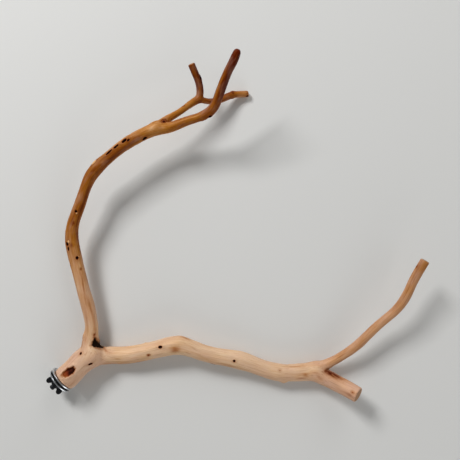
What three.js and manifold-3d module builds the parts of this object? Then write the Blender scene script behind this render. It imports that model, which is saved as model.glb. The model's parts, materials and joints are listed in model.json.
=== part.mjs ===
// Natural wood perch: a peeled, forked branch with a bolt-on cage fitting in its butt.
// Millimetres, +Z up. The perch lies flat and rests on three places: the root of the long
// limb, the same limb short of its far fork, and the tip of the low spur.

import * as THREE from 'three';
import { mergeVertices } from 'three/addons/utils/BufferGeometryUtils.js';
import Module from 'manifold-3d';

const wasm = await Module();
wasm.setup();

// Driving dimensions of the wood
const PIECE_GAP = 0.3; // clearance left between neighbouring pieces
const LIMB_SIDES = 14;
const TWIG_SIDES = 12;
const RING_STEP = 6.5; // length of limb between two rings of the mesh
const MERGE_WITHIN = 1e-4; // vertices closer than this are one

// Driving dimensions of the fitting, an M6 hanger bolt with two penny washers and a wing nut
const BOLT_RADIUS = 3;
const BOLT_IN_WOOD = 24;
const BOLT_POINT = 5; // length of the tapered wood-screw point
const BOLT_OUTSIDE = 17;
const BOLT_CHAMFER = 0.8;
const BORE_RADIUS = BOLT_RADIUS + PIECE_GAP;
const BOLT_OFF_CENTRE = 1.5; // the bolt was drilled a little off the middle of the butt
const WASHER_RADIUS = 15;
const WASHER_THICKNESS = 1.5;
const WIRE_ROOM = 2.4; // slot between the washers for the cage wires
const NUT_HEIGHT = 6.5;
const NUT_BASE_RADIUS = 6;
const NUT_TOP_RADIUS = 4.9;
const WING_THICKNESS = 2.8;
const LOBE_RADIUS = 2.9;
const LOBE_OUT = 8.3;
const LOBE_UP = 7.2;
const WING_TIP = LOBE_OUT + LOBE_RADIUS;
const WING_ROOT = BORE_RADIUS + 0.6;
const WING_FOOT = 0.6; // the wings start this far above the nut's base
const WING_SPRING = 1.6; // height from which the wing's outer edge turns upward
const LOBE_SWEEP = Math.PI * 0.9; // how far round the lobe the wing's rounded end goes
const ROUND_SIDES = 40;
const CUT_OVERRUN = 1; // how far a cutting shape runs past the face it cuts

// Distances along the bolt, from the sawn face of the butt outward
const INNER_WASHER_AT = PIECE_GAP;
const OUTER_WASHER_AT = INNER_WASHER_AT + WASHER_THICKNESS + WIRE_ROOM;
const NUT_AT = OUTER_WASHER_AT + WASHER_THICKNESS + PIECE_GAP;

// Fork centres, each with the reach within which its limbs are parted
const MAIN_FORK = { centre: [-155.5, -140.5, 13.5], reach: 26 };
const FAR_FORK = { centre: [97.5, -160, 10], reach: 20 };
const UPPER_FORK = { centre: [-79.5, 111, 35.5], reach: 18 };
const TWIG_FORK = { centre: [-34, 145, 27.5], reach: 10 };

// Limb routes: centre x, y, z and the limb's radius there
const TRUNK = [
  [-186.5, -167.5, 17, 13.7],
  [-176.5, -159, 16.2, 12.7],
  [-168.5, -150.5, 15.2, 12.4],
  [-161, -144, 14.2, 12.9],
  [...MAIN_FORK.centre, 12.5],
];
const LONG_LIMB = [
  [...MAIN_FORK.centre, 11],
  [-145.5, -142.5, 10.5, 10],
  [-130.5, -142.5, 9.5, 9.5],
  [-113.5, -141.5, 10.5, 9.8],
  [-96, -138, 12.5, 9.4],
  [-79, -133.5, 14.5, 9.6],
  [-67.5, -130.5, 15.5, 10],
  [-58.5, -129.5, 16, 10.3],
  [-48.5, -131.5, 16, 9.7],
  [-34, -137, 15, 8.9],
  [-17, -142, 13.5, 9],
  [0, -145, 12.5, 9.4],
  [12.5, -147.5, 12, 10.2],
  [25, -152, 11.5, 9.7],
  [39.5, -157.5, 10.5, 9.3],
  [55.5, -161.5, 10, 9.7],
  [68, -162, 9.5, 9.1],
  [82, -161.5, 9.5, 9.3],
  [...FAR_FORK.centre, 9.8],
];
const CUT_STUB = [
  [...FAR_FORK.centre, 9.8],
  [108.5, -166.5, 13, 9],
  [123, -173, 19, 8.7],
  [133, -177.5, 25, 8.8],
  [141, -181.5, 30.5, 8.6],
];
const END_TWIG = [
  [...FAR_FORK.centre, 7.9],
  [106.5, -153.5, 12, 6],
  [115, -148.5, 14, 4.9],
  [126.5, -141, 17, 4.7],
  [142, -128.5, 21, 5.1],
  [162, -107.5, 25, 5],
  [177, -93.5, 28.5, 4.9],
  [185, -85.5, 30, 4.9],
  [192.5, -73, 33, 5.2],
  [200.5, -53, 37, 5],
  [210.5, -33, 42, 5],
];
const ARCH_LIMB = [
  [...MAIN_FORK.centre, 12.4],
  [-156.5, -131, 13.5, 11.2],
  [-156.5, -120.5, 14, 8.2],
  [-155.5, -107, 15.5, 7.1],
  [-159.5, -84, 18, 7.4],
  [-164, -67, 20, 7.2],
  [-169, -44.5, 22, 7.2],
  [-173, -24.5, 24, 7.5],
  [-175, -6.5, 26, 7.3],
  [-172, 11, 28, 6.5],
  [-167, 23, 29.5, 6.2],
  [-159, 44, 32, 6],
  [-153.5, 57, 33.5, 6.4],
  [-145.5, 67, 35, 7.1],
  [-137, 75, 36, 6.6],
  [-121, 88, 37, 6.1],
  [-111, 95, 37, 6.8],
  [-100, 101.5, 36.5, 6.4],
  [-90, 106.5, 36, 6.3],
  [...UPPER_FORK.centre, 6.9],
];
const TALL_TWIG = [
  [...UPPER_FORK.centre, 6.7],
  [-66.5, 111, 37, 5.4],
  [-56, 114.5, 38.5, 5],
  [-45, 118.5, 40, 4.6],
  [-33.5, 121.5, 42, 4.3],
  [-24.5, 125, 45, 4.6],
  [-19, 128.5, 48, 4.6],
  [-14.5, 135, 52, 4],
  [-11, 143.5, 57, 4],
  [-6, 155.5, 64, 3.7],
  [-1.5, 164.5, 69, 3.4],
  [4, 173.5, 74, 3.4],
  [7.5, 181, 78, 3.4],
  [8.5, 183, 79, 2],
];
const FORKED_TWIG = [
  [...UPPER_FORK.centre, 5.4],
  [-74, 116.5, 34.5, 4.6],
  [-68, 121.5, 33.5, 3.7],
  [-60.5, 126, 32, 3.3],
  [-52.5, 131.5, 30.5, 3.2],
  [-44, 138.5, 29, 3.4],
  [...TWIG_FORK.centre, 4],
];
const UPRIGHT_SPUR = [
  [...TWIG_FORK.centre, 3.9],
  [-32.5, 153, 28.5, 3.6],
  [-33.5, 159, 30, 3.6],
  [-35, 164.5, 31.5, 3.4],
  [-38.5, 172, 35, 3.4],
  [-42, 180, 39, 3.4],
];
const LOW_SPUR = [
  [...TWIG_FORK.centre, 3.6],
  [-27, 143, 24, 2.8],
  [-21, 143.5, 20.5, 2.7],
  [-14, 145.5, 16.5, 3.1],
  [-6, 149.5, 12, 3.4],
  [0.5, 153.5, 9, 3.1],
  [7, 155, 6.5, 2.8],
  [13.5, 155.5, 4.5, 2.8],
  [21, 156.5, 2.8, 2.7],
];

const PALE_WOOD = { color: 0xdcc1a0, roughness: 0.55, metalness: 0 };
const TAN_WOOD = { color: 0xb5875b, roughness: 0.5, metalness: 0 };
const BROWN_WOOD = { color: 0x8a4f22, roughness: 0.5, metalness: 0 };
const ZINC_STEEL = { color: 0xb9bbbd, roughness: 0.3, metalness: 1 };
const DARK_STEEL = { color: 0x26272a, roughness: 0.45, metalness: 1 };

// Joins the vertices that faces share, so that the mesh is one closed skin.
function closedSkin(geometry) {
  geometry.deleteAttribute('normal');
  geometry.deleteAttribute('uv');
  return mergeVertices(geometry, MERGE_WITHIN);
}

function toSolid(geometry) {
  const skin = closedSkin(geometry);
  return new wasm.Manifold(new wasm.Mesh({
    numProp: 3,
    vertProperties: new Float32Array(skin.attributes.position.array),
    triVerts: new Uint32Array(skin.index.array),
  }));
}

function toGeometry(solid) {
  const mesh = solid.getMesh();
  const geometry = new THREE.BufferGeometry();
  geometry.setAttribute('position', new THREE.BufferAttribute(mesh.vertProperties, 3));
  geometry.setIndex(new THREE.BufferAttribute(mesh.triVerts, 1));
  geometry.computeVertexNormals();
  return geometry;
}

function namedMesh(name, solid, finish) {
  const mesh = new THREE.Mesh(toGeometry(solid), new THREE.MeshStandardMaterial(finish));
  mesh.name = name;
  return mesh;
}

function routeCurve(route) {
  return new THREE.CatmullRomCurve3(route.map(([x, y, z]) => new THREE.Vector3(x, y, z)));
}

// Radius at a curve parameter that runs evenly from one route point to the next.
function radiusAt(route, parameter) {
  const place = parameter * (route.length - 1);
  const before = Math.min(Math.floor(place), route.length - 2);
  return THREE.MathUtils.lerp(route[before][3], route[before + 1][3], place - before);
}

// A round bar bent along the route, with the route's radius at each ring.
function bentLimb(route, sides) {
  const curve = routeCurve(route);
  const rings = Math.ceil(curve.getLength() / RING_STEP);
  const frames = curve.computeFrenetFrames(rings);
  const bar = new THREE.CylinderGeometry(1, 1, 1, sides, rings);
  const position = bar.attributes.position;
  const point = new THREE.Vector3();
  for (let i = 0; i < position.count; i += 1) {
    const ring = Math.round((position.getY(i) + 0.5) * rings);
    const parameter = curve.getUtoTmapping(ring / rings);
    const radius = radiusAt(route, parameter);
    curve.getPoint(parameter, point);
    point.addScaledVector(frames.binormals[ring], radius * position.getX(i));
    point.addScaledVector(frames.normals[ring], radius * position.getZ(i));
    position.setXYZ(i, point.x, point.y, point.z);
  }
  return toSolid(bar);
}

// Unit direction in which a limb leaves a fork that is at one end of its route.
function leaving(route, fork) {
  const points = route.map(([x, y, z]) => new THREE.Vector3(x, y, z));
  const centre = new THREE.Vector3(...fork.centre);
  const next = points[0].equals(centre) ? points[1] : points[points.length - 2];
  return next.sub(centre).normalize();
}

// Block of space on a neighbour's side of the plane that halves the angle between two limbs.
function neighbourBlock(fork, own, neighbour) {
  const toNeighbour = leaving(neighbour, fork).sub(leaving(own, fork)).normalize();
  const size = 2 * fork.reach;
  const block = new THREE.BoxGeometry(size, size, size);
  block.translate(0, 0, (size - PIECE_GAP) / 2);
  block.applyQuaternion(
    new THREE.Quaternion().setFromUnitVectors(new THREE.Vector3(0, 0, 1), toNeighbour),
  );
  block.translate(...fork.centre);
  return toSolid(block);
}

function partedAt(solid, fork, own, ...neighbours) {
  return neighbours.reduce(
    (rest, neighbour) => rest.subtract(neighbourBlock(fork, own, neighbour)),
    solid,
  );
}

// Round bar, ring or cone turned about +Z from a profile of [radius, height] points.
function turned(profile) {
  const points = profile.map(([radius, height]) => new THREE.Vector2(radius, height));
  return new THREE.LatheGeometry(points, ROUND_SIDES).rotateX(Math.PI / 2);
}

// The fitting's own frame: +Z runs out of the sawn butt along the bolt, +X is level.
function fittingFrame() {
  const out = routeCurve(TRUNK).getTangentAt(0).negate();
  const level = new THREE.Vector3(0, 0, 1).cross(out).normalize();
  const up = out.clone().cross(level);
  const butt = new THREE.Vector3(...TRUNK[0].slice(0, 3));
  return new THREE.Matrix4()
    .makeBasis(level, up, out)
    .setPosition(butt.addScaledVector(level, -BOLT_OFF_CENTRE));
}

function trunk() {
  const bore = turned([
    [0, -BOLT_IN_WOOD - PIECE_GAP],
    [BORE_RADIUS, -BOLT_IN_WOOD + BOLT_POINT],
    [BORE_RADIUS, CUT_OVERRUN],
    [0, CUT_OVERRUN],
  ]).applyMatrix4(fittingFrame());
  const bar = bentLimb(TRUNK, LIMB_SIDES);
  const limb = partedAt(bar, MAIN_FORK, TRUNK, ARCH_LIMB, LONG_LIMB);
  return namedMesh('trunk', limb.subtract(toSolid(bore)), PALE_WOOD);
}

function longLimb() {
  const bar = bentLimb(LONG_LIMB, LIMB_SIDES);
  const nearEnd = partedAt(bar, MAIN_FORK, LONG_LIMB, TRUNK, ARCH_LIMB);
  const limb = partedAt(nearEnd, FAR_FORK, LONG_LIMB, CUT_STUB, END_TWIG);
  return namedMesh('long_limb', limb, PALE_WOOD);
}

function archLimb() {
  const bar = bentLimb(ARCH_LIMB, LIMB_SIDES);
  const lowEnd = partedAt(bar, MAIN_FORK, ARCH_LIMB, TRUNK, LONG_LIMB);
  const limb = partedAt(lowEnd, UPPER_FORK, ARCH_LIMB, TALL_TWIG, FORKED_TWIG);
  return namedMesh('arch_limb', limb, TAN_WOOD);
}

function forkedTwig() {
  const bar = bentLimb(FORKED_TWIG, TWIG_SIDES);
  const lowEnd = partedAt(bar, UPPER_FORK, FORKED_TWIG, ARCH_LIMB, TALL_TWIG);
  const limb = partedAt(lowEnd, TWIG_FORK, FORKED_TWIG, UPRIGHT_SPUR, LOW_SPUR);
  return namedMesh('forked_twig', limb, BROWN_WOOD);
}

// A limb with one free end, parted from its neighbours at the fork that it grows from.
function endLimb(name, route, sides, fork, neighbours, finish) {
  const bar = bentLimb(route, sides);
  return namedMesh(name, partedAt(bar, fork, route, ...neighbours), finish);
}

function hangerBolt() {
  const bolt = turned([
    [0, -BOLT_IN_WOOD],
    [BOLT_RADIUS, -BOLT_IN_WOOD + BOLT_POINT],
    [BOLT_RADIUS, BOLT_OUTSIDE - BOLT_CHAMFER],
    [BOLT_RADIUS - BOLT_CHAMFER, BOLT_OUTSIDE],
    [0, BOLT_OUTSIDE],
  ]);
  return namedMesh('hanger_bolt', toSolid(bolt), ZINC_STEEL);
}

function washer(name, height) {
  const ring = turned([
    [BORE_RADIUS, 0],
    [WASHER_RADIUS, 0],
    [WASHER_RADIUS, WASHER_THICKNESS],
    [BORE_RADIUS, WASHER_THICKNESS],
    [BORE_RADIUS, 0],
  ]);
  const mesh = namedMesh(name, toSolid(ring), ZINC_STEEL);
  mesh.position.z = height;
  return mesh;
}

// One wing of the nut in outline: it leaves the hub low down and ends in a round lobe.
function wingSolid() {
  const outline = new THREE.Shape();
  outline.moveTo(WING_ROOT, WING_FOOT);
  outline.lineTo(NUT_BASE_RADIUS, WING_FOOT);
  outline.quadraticCurveTo(WING_TIP, WING_SPRING, WING_TIP, LOBE_UP);
  outline.absarc(LOBE_OUT, LOBE_UP, LOBE_RADIUS, 0, LOBE_SWEEP, false);
  outline.lineTo(WING_ROOT, NUT_HEIGHT - WING_FOOT);
  const plate = new THREE.ExtrudeGeometry(outline, {
    depth: WING_THICKNESS,
    bevelEnabled: false,
    curveSegments: 10,
  });
  plate.translate(0, 0, -WING_THICKNESS / 2);
  return toSolid(plate.rotateX(Math.PI / 2));
}

function wingNut() {
  const hub = toSolid(turned([
    [0, 0],
    [NUT_BASE_RADIUS, 0],
    [NUT_TOP_RADIUS, NUT_HEIGHT],
    [0, NUT_HEIGHT],
  ]));
  const bore = toSolid(turned([
    [0, -CUT_OVERRUN],
    [BORE_RADIUS, -CUT_OVERRUN],
    [BORE_RADIUS, NUT_HEIGHT + CUT_OVERRUN],
    [0, NUT_HEIGHT + CUT_OVERRUN],
  ]));
  const wing = wingSolid();
  const nut = hub.add(wing).add(wing.rotate([0, 0, 180])).subtract(bore);
  const mesh = namedMesh('wing_nut', nut, DARK_STEEL);
  mesh.position.z = NUT_AT;
  return mesh;
}

function fitting() {
  const group = new THREE.Group();
  group.add(
    hangerBolt(),
    washer('inner_washer', INNER_WASHER_AT),
    washer('outer_washer', OUTER_WASHER_AT),
    wingNut(),
  );
  fittingFrame().decompose(group.position, group.quaternion, group.scale);
  return group;
}

// Moves the perch so that the origin is at the middle of its box, on the surface it lies on.
function centred(group) {
  const box = new THREE.Box3().setFromObject(group, true);
  const middle = box.getCenter(new THREE.Vector3());
  group.position.set(-middle.x, -middle.y, -box.min.z);
  group.updateMatrixWorld(true);
  return group;
}

const perch = new THREE.Group();
perch.add(
  trunk(),
  longLimb(),
  archLimb(),
  forkedTwig(),
  endLimb('cut_stub', CUT_STUB, LIMB_SIDES, FAR_FORK, [LONG_LIMB, END_TWIG], PALE_WOOD),
  endLimb('end_twig', END_TWIG, TWIG_SIDES, FAR_FORK, [LONG_LIMB, CUT_STUB], PALE_WOOD),
  endLimb('tall_twig', TALL_TWIG, TWIG_SIDES, UPPER_FORK, [ARCH_LIMB, FORKED_TWIG], BROWN_WOOD),
  endLimb('upright_spur', UPRIGHT_SPUR, TWIG_SIDES, TWIG_FORK, [FORKED_TWIG, LOW_SPUR], BROWN_WOOD),
  endLimb('low_spur', LOW_SPUR, TWIG_SIDES, TWIG_FORK, [FORKED_TWIG, UPRIGHT_SPUR], BROWN_WOOD),
  fitting(),
);

export default centred(perch);
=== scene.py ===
"""Natural wood perch: a peeled, forked branch with a bolt-on cage fitting in its butt.

The nine limbs are grown as one skin round the centre lines of their CAD solids, marked with
knots, scars and grain, and parted again at the forks. The fitting's metal follows.
"""

import json
import math

import bmesh
import bpy
import numpy as np
from bpy.props import FloatProperty, FloatVectorProperty, PointerProperty
from mathutils import Matrix, Vector


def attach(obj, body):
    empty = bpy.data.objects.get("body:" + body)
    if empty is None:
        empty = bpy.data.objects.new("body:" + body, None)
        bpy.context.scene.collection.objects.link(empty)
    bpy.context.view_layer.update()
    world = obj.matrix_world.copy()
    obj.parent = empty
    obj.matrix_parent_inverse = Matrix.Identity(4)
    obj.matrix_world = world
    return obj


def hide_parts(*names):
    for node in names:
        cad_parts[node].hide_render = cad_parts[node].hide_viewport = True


bl_info = {
    "name": "Natural Wood Perch",
    "version": (1, 0, 0),
    "blender": (4, 5, 0),
    "location": "3D View > Sidebar > Perch",
    "description": "Builds a peeled branch perch with its bolt-on cage fitting",
    "category": "Add Mesh",
}

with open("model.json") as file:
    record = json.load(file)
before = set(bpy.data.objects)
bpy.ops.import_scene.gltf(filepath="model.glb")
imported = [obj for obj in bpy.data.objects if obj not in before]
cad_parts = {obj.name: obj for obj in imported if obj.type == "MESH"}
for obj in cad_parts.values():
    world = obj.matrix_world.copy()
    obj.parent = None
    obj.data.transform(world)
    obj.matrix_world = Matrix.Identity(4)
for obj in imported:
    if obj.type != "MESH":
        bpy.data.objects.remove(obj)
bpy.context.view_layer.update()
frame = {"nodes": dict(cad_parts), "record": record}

MM = 0.001
UP = np.array([0.0, 0.0, 1.0])

# The limbs that meet at each fork, the one that it grows from first.
FORKS = {
    "main_fork": ("trunk", "arch_limb", "long_limb"),
    "far_fork": ("long_limb", "cut_stub", "end_twig"),
    "upper_fork": ("arch_limb", "tall_twig", "forked_twig"),
    "twig_fork": ("forked_twig", "upright_spur", "low_spur"),
}
# How softly the limbs run into each other at a fork, and how far the fork reaches, in mm.
FORK_BLEND = {"main_fork": 5.0, "far_fork": 5.0, "upper_fork": 3.5, "twig_fork": 2.2}
FORK_REACH = {"main_fork": 27.0, "far_fork": 21.0, "upper_fork": 19.0, "twig_fork": 10.0}
LIMB_NAMES = list(dict.fromkeys(name for limbs in FORKS.values() for name in limbs))

# Tracing of the CAD limbs, in mm
MEETING_GAP = 0.5  # corners of three limbs this close together are at a fork
LOOK_OUT = 20.0  # how far from a fork a limb is looked at to see which way it goes
PROBE_STEP = 2.5
TRACE_STEP = 2.0
LINE_STEP = 0.5
LINE_SOFTNESS = 3.0
OPEN_ANGLE = math.radians(80)  # a section with a wider gap than this isn't whole
END_RUN = 6.0  # length that a limb's line runs on past its free end
END_ROUND = 0.7  # how far the edge of a sawn end is rounded
RUBBED_ROUND = {"tall_twig": 1.8, "low_spur": 1.1}  # the same for ends that were rubbed round
COARSE = 10  # steps of the line between the places that a search starts from
FIRST_REACH = 24.0  # how far from its line a limb's wood is looked for at first
NEXT_REACH = 2.2  # the same further on, in radii of the last section
FEWEST_POINTS = 5  # a section with fewer points than this has left the limb
FEWEST_TO_FIT = 8
GIRTH_PERCENT = 92  # a section's radius is where this many of its points lie within
WIDEST_STEP = 1.3  # a section that widens by more than this has run into a fork
SEARCH_ROWS = 20000  # points looked up at a time, to spare memory
SLIP_SHARE = 0.8  # share of the way to the nearest place that one step of the search takes
FIRST_SIDE = np.array([0.3, -0.4, 0.85])  # a direction that no limb runs along, to start the grain
# Girth that the solids leave out, in mm of radius: distance from the limb's own fork, and gain.
FULLER = {
    "tall_twig": [(0, 0.1), (45, 0.3), (70, 0.9), (134, 1.1)],
    "forked_twig": [(0, 0.2), (57, 0.4)],
    "upright_spur": [(0, 0.2), (39, 0.5)],
    "low_spur": [(0, 0.2), (40, 0.7), (63, 0.9)],
}


def unit(vector):
    return vector / np.linalg.norm(vector)


# ---------------------------------------------------------------- limbs traced from the CAD


def cad_points(name):
    """A CAD node's corners, in mm."""
    mesh = frame["nodes"][name].data
    points = np.empty(3 * len(mesh.vertices))
    mesh.vertices.foreach_get("co", points)
    return points.reshape(-1, 3) / MM


def cad_edges(name):
    """Both ends of each edge of a CAD node, in mm."""
    mesh = frame["nodes"][name].data
    ends = np.empty(2 * len(mesh.edges), int)
    mesh.edges.foreach_get("vertices", ends)
    return cad_points(name)[ends.reshape(-1, 2)]


def gap_to(points, others):
    """Distance from each point to the nearest of the others."""
    return np.linalg.norm(points[:, None] - others[None], axis=2).min(axis=1)


def wood_height(name, place):
    """Middle height of a limb's wood straight above and below a place."""
    heights = []
    for level in (1, -1):
        start = Vector((place[0] * MM, place[1] * MM, level))
        heights.append(frame["nodes"][name].ray_cast(start, Vector((0, 0, -level)))[1].z / MM)
    return sum(heights) / 2


def fork_centre(limbs):
    """Middle of the wood where a fork's three limbs meet."""
    first, second, third = (cad_points(name) for name in limbs)
    shared = (gap_to(first, second) < MEETING_GAP) & (gap_to(first, third) < MEETING_GAP)
    meeting = first[shared].mean(axis=0)
    heights = []
    for name, points in zip(limbs, (first, second, third)):
        near = points[np.linalg.norm(points - meeting, axis=1) < LOOK_OUT]
        toward = unit(near.mean(axis=0) - meeting)
        heights.append(wood_height(name, meeting + PROBE_STEP * toward))
    return np.array([meeting[0], meeting[1], sum(heights) / 3])


def section(edges, place, heading, reach):
    """Points where a limb's edges pass through the plane across heading at place."""
    side = (edges - place) @ heading
    crossed = (side[:, 0] < 0) != (side[:, 1] < 0)
    share = side[crossed, 0] / (side[crossed, 0] - side[crossed, 1])
    start, end = edges[crossed, 0], edges[crossed, 1]
    points = start + share[:, None] * (end - start)
    distance = np.linalg.norm(points - place, axis=1)
    points, distance = points[distance < reach], distance[distance < reach]
    return points[distance > distance.max() / 2] if len(points) else points


def across(heading):
    """Two directions across a heading, the second as near to upright as it can be."""
    side = unit(np.cross(heading, UP))
    return side, np.cross(side, heading)


def ring_fit(points, place, heading):
    """Centre and radius of the circle through a section's points, or None if it isn't whole."""
    side, rise = across(heading)
    flat = np.stack([(points - place) @ side, (points - place) @ rise], axis=1)
    angles = np.sort(np.arctan2(flat[:, 1], flat[:, 0]))
    gaps = np.diff(angles, append=angles[0] + math.tau)
    if len(flat) < FEWEST_TO_FIT or gaps.max() > OPEN_ANGLE:
        return None
    rows = np.column_stack([2 * flat, np.ones(len(flat))])
    x, y, rest = np.linalg.lstsq(rows, (flat ** 2).sum(axis=1), rcond=None)[0]
    return place + x * side + y * rise, math.sqrt(rest + x * x + y * y)


def soften(values, width):
    """Values smoothed along a line, with both ends held."""
    reach = int(3 * width)
    kernel = np.exp(-0.5 * (np.arange(-reach, reach + 1) / width) ** 2)
    kernel /= kernel.sum()
    before = 2 * values[0] - values[reach:0:-1]
    after = 2 * values[-1] - values[-2:-reach - 2:-1]
    padded = np.concatenate([before, values, after])
    return np.stack([np.convolve(column, kernel, "valid") for column in padded.T], axis=1)


def evenly(points, step):
    """A line of points laid out again at even steps."""
    length = np.concatenate([[0], np.cumsum(np.linalg.norm(np.diff(points, axis=0), axis=1))])
    places = np.linspace(0, length[-1], max(2, round(length[-1] / step)) + 1)
    return np.stack([np.interp(places, length, column) for column in points.T], axis=1)


class Limb:
    """A limb's centre line, girth and grain directions, from its fork outward, in mm."""

    def __init__(self, name, start, stop, end_axis, direction):
        self.name = name
        self.edges = cad_edges(name)
        self.start, self.stop = start, stop
        centres, self.end_axis = self.trace(end_axis)
        line = evenly(np.array(centres), LINE_STEP)
        line = evenly(soften(line, LINE_SOFTNESS / LINE_STEP), LINE_STEP)
        self.length = LINE_STEP * (len(line) - 1)
        self.free_end = line[-1] if stop is None else None
        if stop is None:
            run = np.arange(1, int(END_RUN / LINE_STEP) + 1) * LINE_STEP
            line = np.concatenate([line, line[-1] + run[:, None] * self.end_axis])
        self.line = line
        self.tangent = np.gradient(line, axis=0)
        self.tangent /= np.linalg.norm(self.tangent, axis=1)[:, None]
        self.direction = direction
        self.end_round = RUBBED_ROUND.get(name, END_ROUND)
        self.along = direction * np.arange(len(line)) * LINE_STEP
        lengths, gains = zip(*FULLER.get(name, [(0, 0)]))
        self.radius = self.girth() + np.interp(np.abs(self.along), lengths, gains)

    def trace(self, end_axis):
        """Centres of the limb's whole sections, and the direction of its end."""
        corners = self.edges.reshape(-1, 3)
        near = np.linalg.norm(corners - self.start, axis=1) < LOOK_OUT
        heading = unit(corners[near].mean(axis=0) - self.start)
        place, reach, centres = self.start, FIRST_REACH, [self.start]
        while True:
            place = place + TRACE_STEP * heading
            if self.stop is not None and (self.stop - place) @ heading < reach / 2:
                return centres + [self.stop], None
            points = section(self.edges, place, heading, reach)
            if len(points) < FEWEST_POINTS:
                break
            fit = ring_fit(points, place, heading)
            if fit is None:
                continue
            place, radius = fit
            reach = NEXT_REACH * radius
            centres.append(place)
            heading = unit(place - centres[max(0, len(centres) - 4)])
        axis = heading if end_axis is None else end_axis
        last = centres[-1]
        beyond = (corners - last)[np.linalg.norm(corners - last, axis=1) < reach] @ axis
        if len(centres) > 2 and beyond.max() < 0.6 * TRACE_STEP:
            centres.pop()
            last = centres[-1]
            beyond = (corners - last)[np.linalg.norm(corners - last, axis=1) < reach] @ axis
        return centres + [last + beyond.max() * axis], axis

    def girth(self):
        """Radius at each place on the line, from the outermost points of its sections."""
        places = np.arange(0, len(self.line), int(TRACE_STEP / LINE_STEP))
        found, reach = [], FIRST_REACH
        for i in places:
            points = section(self.edges, self.line[i], self.tangent[i], reach)
            if len(points) < FEWEST_POINTS:
                continue
            distance = np.linalg.norm(points - self.line[i], axis=1)
            radius = np.percentile(distance, GIRTH_PERCENT)
            to_fork = math.inf if self.stop is None else np.linalg.norm(self.line[i] - self.stop)
            if not found or (radius < WIDEST_STEP * found[-1][1] and to_fork > radius / 2):
                found.append((i, radius))
                reach = NEXT_REACH * radius
        steps, radii = np.array(found).T
        radii = np.interp(np.arange(len(self.line)), steps, radii)
        return soften(radii[:, None], LINE_SOFTNESS / LINE_STEP)[:, 0]

    def at(self, table, place):
        """A table's value at fractional places on the line."""
        below = np.clip(place.astype(int), 0, len(self.line) - 2)
        share = place - below
        if table.ndim > 1:
            share = share[:, None]
        return table[below] * (1 - share) + table[below + 1] * share

    def nearest(self, points):
        """Fractional place on the line nearest each point."""
        coarse = self.line[::COARSE]
        place = np.empty(len(points))
        for start in range(0, len(points), SEARCH_ROWS):
            some = points[start:start + SEARCH_ROWS]
            squares = (coarse ** 2).sum(axis=1) - 2 * some @ coarse.T
            place[start:start + SEARCH_ROWS] = COARSE * squares.argmin(axis=1)
        for _ in range(4):
            offset = points - self.at(self.line, place)
            slip = np.einsum("ij,ij->i", offset, self.at(self.tangent, place)) / LINE_STEP
            place = np.clip(place + SLIP_SHARE * slip, 0, len(self.line) - 1)
        return place


def limb_ends(name):
    """The forks that a limb runs from and to; the trunk is followed back from its fork."""
    start = stop = None
    for fork, limbs in FORKS.items():
        if name in limbs[1:]:
            start = fork
        if name == limbs[0]:
            stop = fork
    return (stop, None) if start is None else (start, stop)


def carried(limb, first):
    """Grain directions along a limb that never twist round it, from a first one."""
    sides = [unit(first - (first @ limb.tangent[0]) * limb.tangent[0])]
    for tangent in limb.tangent[1:]:
        sides.append(unit(sides[-1] - (sides[-1] @ tangent) * tangent))
    return np.array(sides)


def grow_limbs():
    """Every limb, traced outward from the main fork."""
    centres = {fork: fork_centre(limbs) for fork, limbs in FORKS.items()}
    butt_axis = np.array(frame["record"]["mounts"][0]["axis"])
    limbs, last_side = {}, {}
    for name in LIMB_NAMES:
        start, stop = limb_ends(name)
        is_trunk = name == LIMB_NAMES[0]
        stop_at = None if stop is None else centres[stop]
        axis = butt_axis if is_trunk else None
        limb = Limb(name, centres[start], stop_at, axis, -1 if is_trunk else 1)
        limb.side = carried(limb, last_side.get(start, FIRST_SIDE))
        begun = limbs.get(FORKS[start][0])
        if begun is not None and not is_trunk:
            limb.along = limb.along + (0 if begun.name == LIMB_NAMES[0] else begun.along[-1])
        if stop is not None:
            last_side[stop] = limb.side[-1]
        limb.rise = np.cross(limb.tangent, limb.side) * (-1 if is_trunk else 1)
        limbs[name] = limb
    return limbs, centres


# ---------------------------------------------------------------- one skin round all limbs

TUBE_STEP = 1.5
TUBE_SIDES = 28
SNAP_STEPS = 5
SNAP_FURTHEST = 1.5  # mm that a point may move in one step
BALL_FILL = 0.97  # a fork's ball, as a share of its thicker limb's radius
SHARP_SHARE = 1.2  # mm within which limbs share the way out
SOFT_SHARE = 2.4  # mm within which limbs share shade and grain
END_NEAR = 3.0  # mm from a sawn end within which it can show end grain


def tube(limb):
    """A closed tube round a limb's line, as points and faces."""
    count = int(limb.length / TUBE_STEP) + 1
    places = np.linspace(0, limb.length / LINE_STEP, count)
    centre, radius = limb.at(limb.line, places), limb.at(limb.radius, places)
    turn = np.linspace(0, math.tau, TUBE_SIDES, endpoint=False)
    ring = np.cos(turn)[:, None, None] * limb.at(limb.side, places)
    ring = ring + np.sin(turn)[:, None, None] * limb.at(limb.rise, places)
    points = (centre + radius[:, None] * ring).transpose(1, 0, 2).reshape(-1, 3)
    faces = []
    for row in range(count - 1):
        for column in range(TUBE_SIDES):
            beside = (column + 1) % TUBE_SIDES
            first, second = row * TUBE_SIDES, (row + 1) * TUBE_SIDES
            faces.append((first + column, first + beside, second + beside, second + column))
    faces.append(tuple(range(TUBE_SIDES))[::-1])
    faces.append(tuple(range((count - 1) * TUBE_SIDES, count * TUBE_SIDES)))
    return points, faces


def fork_ball(centre, radius):
    """A ball that fills the middle of a fork, as points and faces."""
    ball = bmesh.new()
    bmesh.ops.create_icosphere(ball, subdivisions=3, radius=radius)
    points = np.array([corner.co for corner in ball.verts]) + centre
    faces = [tuple(corner.index for corner in face.verts) for face in ball.faces]
    ball.free()
    return points, faces


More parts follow.
